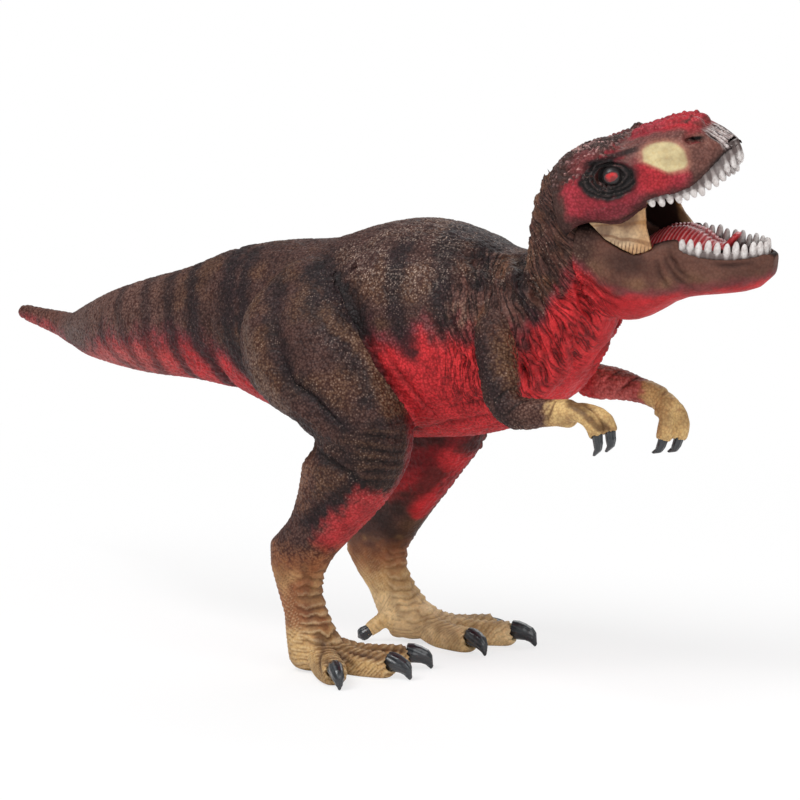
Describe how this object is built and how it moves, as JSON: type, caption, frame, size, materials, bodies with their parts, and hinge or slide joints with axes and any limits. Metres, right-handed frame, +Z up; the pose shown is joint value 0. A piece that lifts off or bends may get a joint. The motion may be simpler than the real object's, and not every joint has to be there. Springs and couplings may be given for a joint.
{
  "type": "toy dinosaur figure",
  "caption": "Painted vinyl toy figure of a walking, roaring tyrannosaur: hinged lower jaw with tooth rows, small clawed arms, clawed feet and a long tail swept to one side.",
  "frame": {"origin": "on the ground under the middle of the figure's bounding box", "axes": "+X forward, the way the figure walks; +Y to the figure's left; +Z up from the soles"},
  "size_m": [0.2724, 0.1058, 0.1373],
  "materials": {
    "skin_brown": "matt, painted pebbled skin with stripes and red underside",
    "leg_brown": "matt, brown and red down to tan feet",
    "arm_brown": "matt, brown down to tan hands",
    "jaw_olive": "matt, olive brown with red edge",
    "claw_slate": "gloss",
    "tooth_white": "satin",
    "tongue_red": "gloss",
    "cheek_ochre": "satin",
    "eye_red": "gloss",
    "pin_grey": "plain nylon"
  },
  "bodies": {
    "figure": {"trunk": "skin_brown", "tail": "skin_brown", "skull": "skin_brown", "left_leg": "leg_brown", "right_leg": "leg_brown", "left_arm": "arm_brown", "right_arm": "arm_brown", "left_inner_finger_claw": "claw_slate", "left_outer_finger_claw": "claw_slate", "right_inner_finger_claw": "claw_slate", "right_outer_finger_claw": "claw_slate", "left_inner_toe_claw": "claw_slate", "left_middle_toe_claw": "claw_slate", "left_outer_toe_claw": "claw_slate", "left_rear_toe_claw": "claw_slate", "right_inner_toe_claw": "claw_slate", "right_middle_toe_claw": "claw_slate", "right_outer_toe_claw": "claw_slate", "right_rear_toe_claw": "claw_slate", "upper_teeth": "tooth_white", "left_eye": "eye_red", "right_eye": "eye_red", "jaw_pin": "pin_grey"},
    "jaw": {"lower_jaw": "jaw_olive", "tongue": "tongue_red", "lower_teeth": "tooth_white", "left_cheek_skin": "cheek_ochre", "right_cheek_skin": "cheek_ochre"}
  },
  "joints": [
    {"name": "jaw_hinge", "type": "hinge", "parent": "figure", "child": "jaw", "pos_m": [0.09469, -0.01454, 0.10775], "axis": [0.2188, -0.967, -0.1308], "range_deg": [0, 20]}
  ]
}
